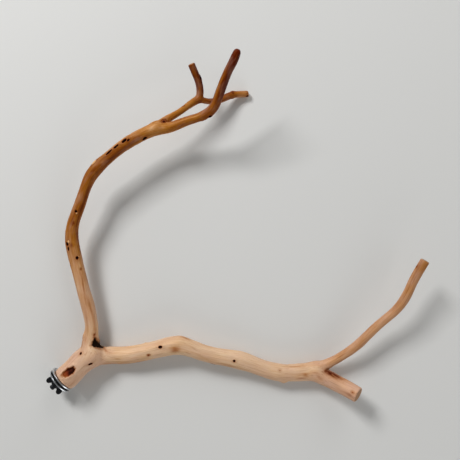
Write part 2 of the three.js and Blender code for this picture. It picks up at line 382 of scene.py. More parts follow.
def joined_mesh(name, shapes):
    """One mesh of several lists of points and faces, given in mm."""
    points, faces, start = [], [], 0
    for some_points, some_faces in shapes:
        points.append(some_points)
        faces.extend(tuple(start + corner for corner in face) for face in some_faces)
        start += len(some_points)
    mesh = bpy.data.meshes.new(name)
    mesh.from_pydata(np.concatenate(points) * MM, [], faces)
    return mesh


def remeshed(mesh, voxel):
    """The union of a mesh's closed shapes, as one even skin of points and four-sided faces."""
    thing = bpy.data.objects.new("skin_work", mesh)
    bpy.context.scene.collection.objects.link(thing)
    remesh = thing.modifiers.new("Even skin", "REMESH")
    remesh.mode = "VOXEL"
    remesh.voxel_size = voxel * MM
    shaped = thing.evaluated_get(bpy.context.evaluated_depsgraph_get()).to_mesh()
    points = np.empty(3 * len(shaped.vertices))
    shaped.vertices.foreach_get("co", points)
    faces = np.empty(len(shaped.loops), int)
    shaped.loops.foreach_get("vertex_index", faces)
    bpy.data.objects.remove(thing)
    bpy.data.meshes.remove(mesh)
    return points.reshape(-1, 3) / MM, faces.reshape(-1, 4)


def smooth_least(first, second, blend):
    """The lesser of two distances, with the corner between them rounded off."""
    overlap = np.clip(blend - np.abs(first - second), 0, None) / blend
    return np.minimum(first, second) - overlap ** 2 * blend / 4


class Skin:
    """How far points are from the wood's surface, which way is out, and whose limb they are on."""

    FAR = 30.0

    def __init__(self, limbs, centres):
        self.limbs, self.centres = limbs, centres

    def measure(self, points):
        count = len(points)
        self.place = {}
        distance = np.full((len(self.limbs), count), self.FAR)
        outward = np.zeros((len(self.limbs), count, 3))
        self.end_share = np.zeros(count)
        for row, limb in enumerate(self.limbs.values()):
            low, high = limb.line.min(axis=0) - self.FAR, limb.line.max(axis=0) + self.FAR
            near = np.flatnonzero(((points > low) & (points < high)).all(axis=1))
            place = limb.nearest(points[near])
            offset = points[near] - limb.at(limb.line, place)
            length = np.linalg.norm(offset, axis=1)
            gap = length - limb.at(limb.radius, place)
            way = offset / np.maximum(length, 1e-9)[:, None]
            if limb.free_end is not None:
                beyond = (points[near] - limb.free_end) @ limb.end_axis
                flat = -smooth_least(-gap, -beyond, 2 * limb.end_round)
                share = np.clip(0.5 + (beyond - gap) / (4 * limb.end_round), 0, 1)[:, None]
                way = (1 - share) * way + share * limb.end_axis
                sawn = (np.abs(flat) < END_NEAR) & (limb.end_round == END_ROUND)
                self.end_share[near] = np.maximum(self.end_share[near], share[:, 0] * sawn)
                gap = flat
            distance[row, near], outward[row, near] = np.minimum(gap, self.FAR), way
            self.place[limb.name] = np.full(count, np.nan)
            self.place[limb.name][near] = place
        self.limb_distance = distance
        sharp = np.exp(-(distance - distance.min(axis=0)) / SHARP_SHARE)
        normal = np.einsum("ln,lnk->nk", sharp / sharp.sum(axis=0), outward)
        soft = np.exp(-(distance - distance.min(axis=0)) / SOFT_SHARE)
        self.weight = soft / soft.sum(axis=0)
        self.normal = normal / np.linalg.norm(normal, axis=1)[:, None]
        return self.blended(points, distance)

    def blended(self, points, distance):
        """Distance to all limbs together, run softly into each other at the forks."""
        names = list(self.limbs)
        together = distance.min(axis=0)
        for fork, members in FORKS.items():
            near = np.linalg.norm(points - self.centres[fork], axis=1) < 1.5 * FORK_REACH[fork]
            first, second, third = (distance[names.index(name)][near] for name in members)
            blend = FORK_BLEND[fork]
            pair = smooth_least(first, second, blend)
            joined = smooth_least(pair, smooth_least(first, third, blend), blend / 3)
            together[near] = np.minimum(together[near], joined)
        return together


def skin_points(limbs, centres, voxel):
    """The bare skin of all limbs: its points and faces, in mm."""
    shapes = [tube(limb) for limb in limbs.values()]
    for fork, members in FORKS.items():
        radius = max(limbs[name].radius[0] for name in members[1:])
        shapes.append(fork_ball(centres[fork], BALL_FILL * radius))
    points, faces = remeshed(joined_mesh("skin_work", shapes), voxel)
    skin = Skin(limbs, centres)
    for _ in range(SNAP_STEPS):
        gap = skin.measure(points)
        points = points - np.clip(gap, -SNAP_FURTHEST, SNAP_FURTHEST)[:, None] * skin.normal
    skin.measure(points)
    return points, faces, skin


# ---------------------------------------------------------------- marks and grain on the skin

# How far each limb's wood has darkened: distance from its own fork in mm, and shade from 0 to 1.
SHADES = {
    "trunk": [(0, 0.18), (20, 0.14), (40, 0.20)],
    "long_limb": [(0, 0.20), (30, 0.18), (80, 0.18), (120, 0.14), (170, 0.12), (240, 0.20)],
    "cut_stub": [(0, 0.38), (50, 0.42)],
    "end_twig": [(0, 0.34), (40, 0.50), (170, 0.60)],
    "arch_limb": [(0, 0.22), (25, 0.32), (80, 0.38), (105, 0.46), (122, 0.66), (220, 0.74),
                  (262, 0.70), (297, 0.54)],
    "tall_twig": [(0, 0.54), (30, 0.66), (60, 0.82), (95, 0.94), (134, 1.0)],
    "forked_twig": [(0, 0.52), (30, 0.62), (57, 0.72)],
    "upright_spur": [(0, 0.80), (15, 0.96), (39, 0.94)],
    "low_spur": [(0, 0.90), (38, 0.88), (48, 0.74), (63, 0.54)],
}
# How rosy the wood is, in the same way.
ROSY = {
    "trunk": [(0, 0.75), (40, 0.75)],
    "long_limb": [(0, 0.55), (40, 0.30), (150, 0.35), (240, 0.40)],
    "cut_stub": [(0, 0.60), (50, 0.75)],
    "end_twig": [(0, 0.50), (60, 0.36), (170, 0.30)],
    "arch_limb": [(0, 0.45), (100, 0.30), (125, 0.0)],
}

# Marks left by side twigs, grubs and the knife; some of the streaks are painted shade and painted
# highlights. Each gives its limb, how far along from the limb's own fork and how far round from the
# top its middle is (mm, and degrees to the right, looking outward), its half length and half width
# in mm, how deep, high or strong it is, and how many degrees it leans across the grain.
KNOT_HOLES = [
    ("trunk", 7, 41, 1.5, 1.5, 1.5, 0),
    ("trunk", 3, -30, 2.6, 1.1, 1.3, 10),
    ("trunk", 22, 170, 2.0, 1.6, 1.4, 0),
    ("long_limb", 81.5, -18, 2.2, 1.5, 1.6, 10),
    ("long_limb", 142.5, 66, 2.0, 0.8, 1.0, 0),
    ("long_limb", 164.5, 0, 1.4, 1.3, 1.6, 0),
    ("long_limb", 118, 150, 1.8, 1.3, 1.4, 0),
    ("arch_limb", 112.5, 30, 1.9, 1.5, 1.5, 0),
    ("arch_limb", 124, -30, 2.4, 1.0, 0.9, 8),
    ("arch_limb", 129.3, -34, 2.0, 1.6, 1.7, 0),
    ("arch_limb", 166, 2, 1.6, 1.4, 1.3, 0),
    ("arch_limb", 240.5, -24, 4.2, 1.1, 1.2, -4),
    ("arch_limb", 250, -25, 2.8, 1.3, 1.3, -6),
    ("arch_limb", 260.5, -24, 3.2, 1.7, 1.6, -10),
    ("arch_limb", 264.5, -5, 1.7, 1.1, 0.9, -20),
    ("arch_limb", 281, 58, 2.8, 1.5, 1.4, -10),
    ("arch_limb", 190, 165, 2.4, 1.4, 1.3, 0),
    ("tall_twig", 60.5, 62, 1.8, 1.4, 0.8, 0),
    ("tall_twig", 52.5, 92, 1.5, 1.2, 0.6, 0),
    ("upright_spur", 22, 62, 2.6, 1.3, 0.7, 0),
    ("low_spur", 61, 60, 1.4, 1.1, 0.5, 0),
]
KNOTS = [
    ("long_limb", 66.5, 16, 1.8, 1.3, 0.40, 0),
    ("long_limb", 217.5, -25, 2.0, 1.5, 0.14, 0),
    ("long_limb", 190, -160, 2.6, 2.0, 0.40, 0),
    ("arch_limb", 25, 38, 1.5, 1.2, 0.30, 0),
    ("arch_limb", 99.5, 40, 1.4, 1.1, 0.30, 0),
    ("arch_limb", 105, -57, 1.2, 1.0, 0.25, 0),
    ("arch_limb", 152.5, 15, 2.3, 1.0, 0.32, 0),
    ("arch_limb", 60, -140, 2.2, 1.7, 0.40, 0),
    ("cut_stub", 48, -5, 2.0, 1.6, 0.16, 0),
    ("end_twig", 167.5, -80, 1.5, 1.1, 0.30, 0),
    ("end_twig", 90, 120, 1.6, 1.2, 0.30, 0),
    ("forked_twig", 9.5, 7, 3.2, 2.6, 0.75, 0),
    ("forked_twig", 56.5, 70, 2.0, 1.5, 0.40, 0),
    ("tall_twig", 92, -150, 1.8, 1.3, 0.30, 0),
]
SCARS = [
    ("arch_limb", 221, -50, 3.8, 1.4, 0.60, 0),
    ("arch_limb", 131.5, -17, 1.7, 1.2, 0.60, 25),
    ("arch_limb", 113.5, 44, 1.1, 0.8, 0.20, 0),
    ("arch_limb", 164.5, 16, 1.3, 0.8, 0.20, 0),
]
BUMPS = [
    ("trunk", 12, 110, 9, 7, 0.9, 0),
    ("long_limb", 64, -84, 2.6, 2.2, 0.9, 0),
    ("long_limb", 102, -74, 7.5, 5, 1.7, 0),
    ("long_limb", 224, 80, 4.2, 3.2, 2.1, 0),
    ("arch_limb", 21.5, -60, 5, 3.5, 1.2, 0),
    ("arch_limb", 224, -70, 8, 4, 0.7, 0),
    ("tall_twig", 52.5, 85, 3.0, 2.2, 1.0, 0),
    ("tall_twig", 60.5, 66, 3.0, 2.4, 1.1, 0),
    ("upright_spur", 22, 75, 3.2, 2.0, 0.7, 0),
    ("low_spur", 44, -60, 2.6, 2.2, 0.9, 0),
    ("low_spur", 43, 100, 2.4, 2.0, 0.6, 0),
    ("forked_twig", 34, 60, 2.2, 1.6, 0.4, 0),
]
STREAKS = [
    ("trunk", 14, -58, 20, 2.5, 0.15, 0),
    ("trunk", 34, -46, 10, 3.5, 0.40, 0),
    ("trunk", 20, 58, 18, 2.6, 0.45, 0),
    ("trunk", 12, 14, 12, 3.0, -0.50, 0),
    ("long_limb", 30, 12, 5, 1.0, 0.70, 4),
    ("long_limb", 97, 18, 7.0, 4.6, 1.30, -8),
    ("long_limb", 106, -72, 7, 3.0, 0.70, 0),
    # Painted shade along the long limb's low edge by the main fork.
    ("long_limb", 38, 78, 34, 6.0, 1.30, 0),
    ("long_limb", 128, 30, 20, 4.0, 0.45, 0),
    ("long_limb", 160, 46, 40, 3.0, 0.60, 0),
    # Painted highlight along the long limb's top.
    ("long_limb", 168, -46, 42, 4.5, -0.70, 0),
    ("long_limb", 236, -56, 13, 1.2, 0.80, 0),
    ("long_limb", 243, 30, 7, 1.6, 0.90, 0),
    ("long_limb", 247, 6, 4, 2.6, 0.90, 20),
    # Painted shade on the crotch face of the stub's upper side, facing the end twig.
    ("cut_stub", 17, -58, 15, 5.5, 2.60, 0),
    ("cut_stub", 6, 10, 6, 2.2, 0.70, 0),
    ("cut_stub", 46, 22, 5, 2.0, 0.80, 0),
    ("cut_stub", 26, 2, 14, 2.0, -0.50, 0),
    ("arch_limb", 78, 22, 20, 1.1, 0.80, 8),
    ("arch_limb", 52, 34, 24, 1.6, 0.80, -3),
    ("arch_limb", 40, -24, 18, 1.1, 0.55, 2),
    ("arch_limb", 14, -62, 9, 2.0, 0.90, 0),
    ("arch_limb", 90, -30, 22, 2.5, -0.35, 0),
    ("arch_limb", 127.5, 5, 3.2, 2.4, 0.80, 0),
    ("arch_limb", 140, 66, 10, 1.6, 1.10, 0),
    # Darker stripes down the arch's right side, deepened with painted shade there.
    ("arch_limb", 175, 48, 45, 3.4, 0.85, 0),
    ("arch_limb", 250, 46, 40, 3.6, 0.90, 0),
    # Painted highlights: along the arch's upper left side, and on its shoulder below the upper fork.
    ("arch_limb", 254, -56, 34, 3.4, -1.15, 0),
    ("arch_limb", 292, -6, 6, 4.0, -0.90, 0),
    ("forked_twig", 38.5, -36, 2.4, 1.3, 1.00, 0),
    ("forked_twig", 34.5, 62, 1.8, 1.0, 0.90, 0),
    ("forked_twig", 28, -55, 28, 2.0, -0.60, 0),
    ("low_spur", 43.5, -20, 1.5, 2.2, 1.10, 0),
    ("low_spur", 47, 55, 1.6, 1.3, 0.90, 0),
    ("low_spur", 61, 30, 2.2, 6.0, 0.80, 0),
    ("tall_twig", 28, 60, 24, 2.5, 0.70, 0),
    # Painted shade along the tall twig's right side, and a painted highlight along its left side.
    ("tall_twig", 100, 58, 42, 3.4, 1.20, 0),
    ("tall_twig", 98, -48, 46, 3.0, -0.90, 0),
    ("upright_spur", 20, 55, 20, 2.0, 0.90, 0),
]
WOUND = ("trunk", 28.5, 11.5, 8.6, 4.3, 14)
# Corners of the bark in the crotch: mm along the arching limb's way and along the long limb's.
CROTCH_CORNERS = ((22.0, 8.0), (9.5, 16.0), (13.0, 2.5))
BARK_WAY = 24  # place on a limb's line that gives its way at the crotch

NOISE_CELLS = 32


def rise_between(low, high, value):
    """0 below low, 1 above high, and a smooth slope between."""
    share = np.clip((value - low) / (high - low), 0, 1)
    return share * share * (3 - 2 * share)


def soft_noise(points, seed):
    """Smooth noise from -1 to 1, with one bump to each unit of the points."""
    cells = np.random.default_rng(seed).uniform(-1, 1, (NOISE_CELLS,) * 3)
    base = np.floor(points).astype(int)
    share = points - base
    share = share * share * (3 - 2 * share)
    total = np.zeros(len(points))
    for corner in np.ndindex(2, 2, 2):
        near = np.array(corner) == 1
        weight = np.where(near, share, 1 - share).prod(axis=1)
        x, y, z = ((base + corner) % NOISE_CELLS).T
        total += weight * cells[x, y, z]
    return total


class Surface:
    """What the marks and the grain do at each point of the skin."""

    def __init__(self, skin, points):
        self.skin, self.points = skin, points
        count = len(points)
        self.lift = np.zeros(count)
        self.hollow = np.zeros(count)
        self.stain_and_painted_shade = np.zeros(count)
        self.pale = np.zeros(count)
        self.bark = np.zeros(count)
        self.end_grain = rise_between(0.55, 0.9, skin.end_share)
        self.shade, self.grain, self.radius = self.blend_limbs()

    def blend_limbs(self):
        """Shade, straightened place and girth at each point, run together at the forks."""
        count = len(self.points)
        shade, radius, grain = np.zeros(count), np.zeros(count), np.zeros((count, 3))
        self.rosy = np.zeros(count)
        for row, (name, limb) in enumerate(self.skin.limbs.items()):
            near = np.flatnonzero(self.skin.weight[row] > 1e-3)
            place, weight = self.skin.place[name][near], self.skin.weight[row][near]
            offset = self.points[near] - limb.at(limb.line, place)
            beyond = np.einsum("ij,ij->i", offset, limb.at(limb.tangent, place))
            local = np.stack([
                limb.at(limb.along, place) + limb.direction * beyond,
                np.einsum("ij,ij->i", offset, limb.at(limb.side, place)),
                np.einsum("ij,ij->i", offset, limb.at(limb.rise, place)),
            ], axis=1)
            lengths, shades = zip(*SHADES[name])
            shade[near] += weight * np.interp(place * LINE_STEP, lengths, shades)
            lengths, shares = zip(*ROSY.get(name, [(0, 0)]))
            self.rosy[near] += weight * np.interp(place * LINE_STEP, lengths, shares)
            radius[near] += weight * limb.at(limb.radius, place)
            grain[near] += weight[:, None] * local
        return shade, grain, radius

    def around(self, name, along, turn, long, wide, slant=0.0):
        """The points round a mark, how far out they are in the mark's own size, and their places."""
        limb, row = self.skin.limbs[name], list(self.skin.limbs).index(name)
        place = self.skin.place[name]
        reach = 4 * max(long, wide)
        near = np.flatnonzero(
            (self.skin.weight[row] > 0.02) & (np.abs(place * LINE_STEP - along) < reach))
        tangent = limb.at(limb.tangent, place[near])
        rise = UP - tangent[:, 2:] * tangent
        rise /= np.linalg.norm(rise, axis=1)[:, None]
        side = np.cross(tangent, rise)
        out = self.points[near] - limb.at(limb.line, place[near])
        angle = np.arctan2((out * side).sum(axis=1), (out * rise).sum(axis=1))
        angle = (angle - math.radians(turn) + math.pi) % math.tau - math.pi
        lengthwise = place[near] * LINE_STEP - along + (out * tangent).sum(axis=1)
        sideways = angle * limb.at(limb.radius, place[near])
        lean = math.radians(slant)
        u = (lengthwise * math.cos(lean) + sideways * math.sin(lean)) / long
        v = (sideways * math.cos(lean) - lengthwise * math.sin(lean)) / wide
        ragged = 1 + 0.16 * soft_noise(self.points[near] / 1.7, 5)
        belongs = np.minimum(2 * self.skin.weight[row][near], 1)
        return near, np.hypot(u, v) * ragged / belongs, u, v

    def knot_hole(self, name, along, turn, long, wide, depth, slant=0.0):
        """A hole where a dead twig or a grub came out, dark inside, with a slight rim."""
        near, out, u, v = self.around(name, along, turn, long, wide, slant)
        self.lift[near] -= depth * (1 - rise_between(0.45, 1.05, out))
        self.lift[near] += 0.22 * np.exp(-((out - 1.5) / 0.4) ** 2)
        self.hollow[near] = np.maximum(self.hollow[near], 1 - rise_between(0.8, 1.3, out))
        halo = np.exp(-(u / 2.6) ** 2 - (v / 1.7) ** 2)
        self.stain_and_painted_shade[near] = np.maximum(self.stain_and_painted_shade[near], 0.5 * halo)

    def knot(self, name, along, turn, long, wide, depth, slant=0.0):
        """A healed knot: a dark eye in a paler ring with a brown edge, in a low swelling."""
        near, out, u, v = self.around(name, along, turn, long, wide, slant)
        strength = min(1.0, depth / 0.4)
        self.lift[near] += 0.35 * depth * np.exp(-(out / 2.0) ** 2)
        self.lift[near] -= depth * np.exp(-((out - 0.85) / 0.28) ** 2)
        eye = strength * (1 - rise_between(0.3, 0.75, out))
        self.hollow[near] = np.maximum(self.hollow[near], 0.8 * eye)
        edge = np.exp(-((out - 1.0) / 0.25) ** 2) + 0.6 * np.exp(-(out / 1.5) ** 2)
        self.stain_and_painted_shade[near] = np.maximum(self.stain_and_painted_shade[near], strength * np.minimum(edge, 1))

    def scar(self, name, along, turn, long, wide, height, slant=0.0):
        """A pale raised scar with a thin brown edge, where a twig was pared off."""
        near, out, u, v = self.around(name, along, turn, long, wide, slant)
        self.lift[near] += height * (1 - rise_between(0.55, 1.2, out))
        self.pale[near] = np.maximum(self.pale[near], 1 - rise_between(0.75, 1.05, out))
        edge = np.exp(-((out - 1.2) / 0.22) ** 2)
        self.stain_and_painted_shade[near] = np.maximum(self.stain_and_painted_shade[near], 0.8 * edge)

    def bump(self, name, along, turn, long, wide, height, slant=0.0):
        """A plain swelling of the wood."""
        near, out, u, v = self.around(name, along, turn, long, wide, slant)
        self.lift[near] += height * np.exp(-1.3 * out ** 2)

    def streak(self, name, along, turn, long, wide, strength, slant=0.0):
        """A streak along the grain, darker where the strength is positive and paler where it is
        negative.

            Some are stains in the wood, and some are painted shade and painted highlights.
        """
        near, out, u, v = self.around(name, along, turn, long, wide, slant)
        fibres = 0.75 + 0.35 * soft_noise(self.grain[near] / (9.0, 0.7, 0.7), 8)
        share = strength * fibres * np.exp(-1.6 * out ** 2)
        self.shade[near] += 0.26 * share
        self.stain_and_painted_shade[near] = np.maximum(self.stain_and_painted_shade[near], 0.6 * share)

    def swell(self):
        """The slow unevenness of grown wood: swellings, long low ridges and knife facets."""
        sound = (1 - self.end_grain) * np.clip(self.radius / 9, 0.35, 1.1)
        slow = 0.50 * soft_noise(self.grain / (21.0, 9.0, 9.0), 1)
        quick = 0.20 * soft_noise(self.grain / (8.0, 4.5, 4.5), 2)
        ridges = 0.24 * soft_noise(self.grain / (46.0, 2.6, 2.6), 3)
        self.lift += sound * (slow + quick + ridges)
        self.lift += self.end_grain * 0.08 * soft_noise(self.points / 0.9, 4)

    def mark(self):
        self.swell()
        for marks, make in (
            (KNOT_HOLES, self.knot_hole), (KNOTS, self.knot), (SCARS, self.scar),
            (BUMPS, self.bump), (STREAKS, self.streak),
        ):
            for each in marks:
                make(*each)
        self.wound()
        self.crotch_bark()
        self.rosy *= 1 - 0.8 * np.clip(self.stain_and_painted_shade, 0, 1)

    def wound(self):
        """The big old wound on the trunk: a hollow of dead wood, brown to black, in healed lips."""
        near, out, u, v = self.around(*WOUND)
        inside = 1 - rise_between(0.70, 1.02, out)
        fibres = soft_noise(self.grain[near] / (6.0, 0.7, 0.7), 12)
        self.lift[near] -= inside * (2.0 + 0.4 * fibres)
        self.lift[near] += 0.5 * np.exp(-((out - 1.3) / 0.28) ** 2)
        black = 1 - rise_between(-0.25, 0.45, u + 0.35 * fibres)
        core = 0.22 * np.exp(-((u + 0.35) / 0.3) ** 2 - ((v - 0.1) / 0.5) ** 2)
        dark = rise_between(0.2, 0.7, inside) * (0.38 + 0.14 * fibres + 0.60 * black - core)
        self.hollow[near] = np.maximum(self.hollow[near], dark)
        self.stain_and_painted_shade[near] = np.maximum(self.stain_and_painted_shade[near], 1 - rise_between(0.92, 1.15, out))

    def crotch_bark(self):
        """Dark bark that the arching and the long limb have grown round between them."""
        fork, (_, arching, long) = "main_fork", FORKS["main_fork"]
        centre = self.skin.centres[fork]
        near = np.flatnonzero(np.linalg.norm(self.points - centre, axis=1) < FORK_REACH[fork])
        ways = [unit(self.skin.limbs[name].line[BARK_WAY] - centre)[:2] for name in (arching, long)]
        places = (self.points[near, :2] - centre[:2]) @ np.linalg.inv(np.array(ways))
        inside = np.full(len(near), np.inf)
        for first, second in zip(CROTCH_CORNERS, CROTCH_CORNERS[1:] + CROTCH_CORNERS[:1]):
            edge = unit(np.subtract(second, first))
            to_edge = (places - first) @ np.array([-edge[1], edge[0]])
            inside = np.minimum(inside, to_edge)
        inside += 0.8 * soft_noise(self.points[near] / 1.5, 15)
        share = rise_between(-0.5, 0.7, inside)
        self.lift[near] -= 1.3 * share
        self.bark[near] = share
        self.stain_and_painted_shade[near] = np.maximum(self.stain_and_painted_shade[near], 0.8 * rise_between(-3.0, 0.0, inside))


# ---------------------------------------------------------------- the skin parted into limbs

PART_AT = 12.0  # how far from a fork its limbs' directions are taken, in mm
REST_SOFTNESS = 0.3  # how gently the wood is flattened where it rests, in mm
CUT_CLOSENESS = 1e-7  # corners this close to a cutting plane are on it, in metres
NEAR_FORK = 0.9  # share of a fork's reach within which its limbs share their skin


def part_mesh(name, points, faces, values):
    """A mesh of some of the skin's faces, with the surface's values at its points."""
    used, corners = np.unique(faces, return_inverse=True)
    mesh = bpy.data.meshes.new(name)
    mesh.from_pydata(points[used] * MM, [], corners.reshape(-1, 4).tolist())
    for label, value in values.items():
        kind = "FLOAT_VECTOR" if value.ndim > 1 else "FLOAT"
        key = "vector" if value.ndim > 1 else "value"
        layer = mesh.attributes.new(label, kind, "POINT")
        layer.data.foreach_set(key, value[used].astype(np.float32).ravel())
    return mesh


def cut_at_fork(shape, centre, reach, own, other):
    """Cuts a shape with the plane that halves the angle to a neighbour, and caps the cut."""
    middle = Vector(centre * MM)
    zone = [face for face in shape.faces if (face.calc_center_median() - middle).length < reach]
    # Kept in the mesh's own order, so that every run gives the same faces in the same order.
    edges = dict.fromkeys(edge for face in zone for edge in face.edges)
    corners = dict.fromkeys(corner for face in zone for corner in face.verts)
    cut = bmesh.ops.bisect_plane(
        shape, geom=[*zone, *edges, *corners], plane_co=middle, plane_no=Vector(own - other),
        clear_inner=True, dist=CUT_CLOSENESS,
    )
    rim = [item for item in cut["geom_cut"] if isinstance(item, bmesh.types.BMEdge)]
    cap = bmesh.ops.triangle_fill(shape, edges=rim, use_beauty=True)
    for item in cap["geom"]:
        if isinstance(item, bmesh.types.BMFace):
            item.material_index = 1


def limb_ways(limbs, centres, fork):
    """The direction in which each of a fork's limbs leaves it."""
    ways = {}
    for name in FORKS[fork]:
        line = limbs[name].line
        leaves = name in FORKS[fork][1:] or name == LIMB_NAMES[0]
        place = int(PART_AT / LINE_STEP)
        ways[name] = unit((line[place] if leaves else line[-1 - place]) - centres[fork])
    return ways


def finish_normals(mesh):
    """Gives the parted skin the whole skin's smooth shading, and each cut a flat one."""
    count = len(mesh.loops)
    corners = np.empty(count, int)
    mesh.loops.foreach_get("vertex_index", corners)
    layer = mesh.attributes["skin_normal"]
    smooth = np.empty(3 * len(mesh.vertices), np.float32)
    layer.data.foreach_get("vector", smooth)
    normals = smooth.reshape(-1, 3)[corners]
    sizes = np.empty(len(mesh.polygons), int)
    mesh.polygons.foreach_get("loop_total", sizes)
    kinds = np.empty(len(mesh.polygons), int)
    mesh.polygons.foreach_get("material_index", kinds)
    flat = np.empty(3 * len(mesh.polygons))
    mesh.polygons.foreach_get("normal", flat)
    is_cap = np.repeat(kinds == 1, sizes)
    normals[is_cap] = np.repeat(flat.reshape(-1, 3), sizes, axis=0)[is_cap]
    normals /= np.linalg.norm(normals, axis=1)[:, None]
    mesh.polygons.foreach_set("material_index", np.zeros(len(kinds), int))
    mesh.polygons.foreach_set("use_smooth", np.ones(len(kinds), bool))
    mesh.normals_split_custom_set(normals.tolist())
    mesh.attributes.remove(mesh.attributes["skin_normal"])


def drop_offcuts(shape):
    """Keeps the largest connected part of a shape, and drops slivers that the cuts left."""
    waiting, parts = set(shape.verts), []
    while waiting:
        part, reached = set(), [waiting.pop()]
        while reached:
            corner = reached.pop()
            part.add(corner)
            beside = {edge.other_vert(corner) for edge in corner.link_edges} & waiting
            waiting -= beside
            reached.extend(beside)
        parts.append(part)
    largest = max(parts, key=len)
    offcuts = [corner for corner in shape.verts if corner not in largest]
    bmesh.ops.delete(shape, geom=offcuts, context="VERTS")


def part_limbs(limbs, centres, points, faces, skin, values):
    """One closed mesh for each limb, parted from its neighbours at the forks."""
    owner = skin.limb_distance.argmin(axis=0)
    face_owner = owner[faces[:, 0]]
    middle = points[faces].mean(axis=1)
    meshes = {}
    for row, name in enumerate(limbs):
        wanted = face_owner == row
        own_forks = [fork for fork, members in FORKS.items() if name in members]
        for fork in own_forks:
            rows = [list(limbs).index(member) for member in FORKS[fork]]
            near = np.linalg.norm(middle - centres[fork], axis=1) < NEAR_FORK * FORK_REACH[fork]
            wanted |= near & np.isin(face_owner, rows)
        mesh = part_mesh(name + "_wood", points, faces[wanted], values)
        shape = bmesh.new()
        shape.from_mesh(mesh)
        rims = [edge for edge in shape.edges if edge.is_boundary]
        stoppers = bmesh.ops.holes_fill(shape, edges=rims, sides=0)["faces"]
        bmesh.ops.triangulate(shape, faces=stoppers)
        for fork in own_forks:
            ways = limb_ways(limbs, centres, fork)
            for neighbour in FORKS[fork]:
                if neighbour != name:
                    reach = FORK_REACH[fork] * MM
                    cut_at_fork(shape, centres[fork], reach, ways[name], ways[neighbour])
        drop_offcuts(shape)
        bmesh.ops.triangulate(shape, faces=shape.faces)
        shape.to_mesh(mesh)
        shape.free()
        finish_normals(mesh)
        meshes[name] = mesh
    return meshes


def vertex_normals(points, faces):
    """Smooth normals of a four-sided skin."""
    spread = np.cross(points[faces[:, 2]] - points[faces[:, 0]],
                      points[faces[:, 3]] - points[faces[:, 1]])
    normals = np.zeros_like(points)
    for corner in range(4):
        for axis in range(3):
            normals[:, axis] += np.bincount(
                faces[:, corner], spread[:, axis], minlength=len(points))
    return normals / np.maximum(np.linalg.norm(normals, axis=1), 1e-12)[:, None]


def grow_wood(voxel):
    """The wood of every limb, as one mesh each."""
    limbs, centres = grow_limbs()
    points, faces, skin = skin_points(limbs, centres, voxel)
    surface = Surface(skin, points)
    surface.mark()
    points = points + surface.lift[:, None] * vertex_normals(points, faces)
    points[:, 2] = (points[:, 2] + np.hypot(points[:, 2], REST_SOFTNESS)) / 2
    values = {
        "grain_place": surface.grain, "wood_tone_and_painted_light": surface.shade, "hollow": surface.hollow,
        "stain_and_painted_shade": surface.stain_and_painted_shade, "pale_scar": surface.pale, "old_bark": surface.bark,
        "rosy": surface.rosy, "end_grain": surface.end_grain,
        "skin_normal": vertex_normals(points, faces),
    }
    return part_limbs(limbs, centres, points, faces, skin, values)


# ---------------------------------------------------------------- materials

YEAR_RING = 1.1  # width of a year's ring in the sawn ends, in mm
# Patterns that run with the grain: length along the limb and width across it in mm, and detail.
GRAIN = {
    "fibres": (18.0, 0.9, 4.0),
    "cloud": (26.0, 5.5, 3.0),
    "patches": (60.0, 11.0, 2.0),
    "flecks": (3.2, 0.42, 1.0),
    "lines": (34.0, 0.75, 2.0),
    "blush": (22.0, 7.0, 2.0),
    "bark": (2.0, 1.2, 3.0),
}
# How much each pattern changes the shade, from 0 to 1.
CLOUD_SHADE = 0.50
PATCH_SHADE = 0.30
FIBRE_SHADE = 0.42
BLUSH_SHARE = 1.1
STAIN_SHARE = 0.85
FLECK_SHARE = 0.28
FIBRE_ROUGHNESS = 0.16
DULL_ROUGHNESS = 0.35  # added roughness of bark and dead wood
WOOD_GLEAM = 0.37  # specular level of sound pale wood
DEAD_GLEAM = 0.08  # the same in hollows and on bark
WOOD_IOR = 1.5
GRAIN_RELIEF = 0.12  # height of the raised grain, in mm
ZINC_CLOUD = 3.0  # width of the cloudy patches of the plating, in mm
ZINC_GRIT = 0.35
CAST_PIT = 0.5  # width of a pit in the casting, in mm


def linear(hex_colour):
    """A linear colour from an sRGB hex one."""
    parts = [int(hex_colour[i:i + 2], 16) / 255 for i in (0, 2, 4)]
    return tuple(v / 12.92 if v <= 0.04045 else ((v + 0.055) / 1.055) ** 2.4 for v in parts)


def add(tree, kind, links=None, **settings):
    """Adds a node to a tree with its settings, and links or sets its inputs."""
    made = tree.nodes.new(kind)
    for key, value in settings.items():
        setattr(made, key, value)
    for socket, source in (links or {}).items():
        if isinstance(source, bpy.types.NodeSocket):
            tree.links.new(source, made.inputs[socket])
        else:
            made.inputs[socket].default_value = source
    return made


def new_material(name):
    """An empty material with its shader, and the shader's tree."""
    material = bpy.data.materials.new(name)
    material.use_nodes = True
    tree = material.node_tree
    tree.nodes.clear()
    shader = add(tree, "ShaderNodeBsdfPrincipled")
    output = add(tree, "ShaderNodeOutputMaterial")
    tree.links.new(shader.outputs["BSDF"], output.inputs["Surface"])
    return material, tree, shader


def set_ramp(ramp, stops):
    """Fills a colour ramp with (place, colour) stops."""
    elements = ramp.color_ramp.elements
    while len(elements) < len(stops):
        elements.new(0.5)
    for element, (place, colour) in zip(elements, stops):
        element.position = place
        element.color = (*colour, 1)


def grain_noise(tree, place, pattern):
    """Noise in mm of grain, long along the limb and narrow across it."""
    along, across_grain, detail = GRAIN[pattern]
    scaled = add(tree, "ShaderNodeVectorMath", {
        0: place, 1: (1 / along, 1 / across_grain, 1 / across_grain)}, operation="MULTIPLY")
    noise = add(tree, "ShaderNodeTexNoise", {
        "Vector": scaled.outputs[0], "Scale": 1.0, "Detail": detail, "Roughness": 0.55})
    return noise.outputs["Fac"]


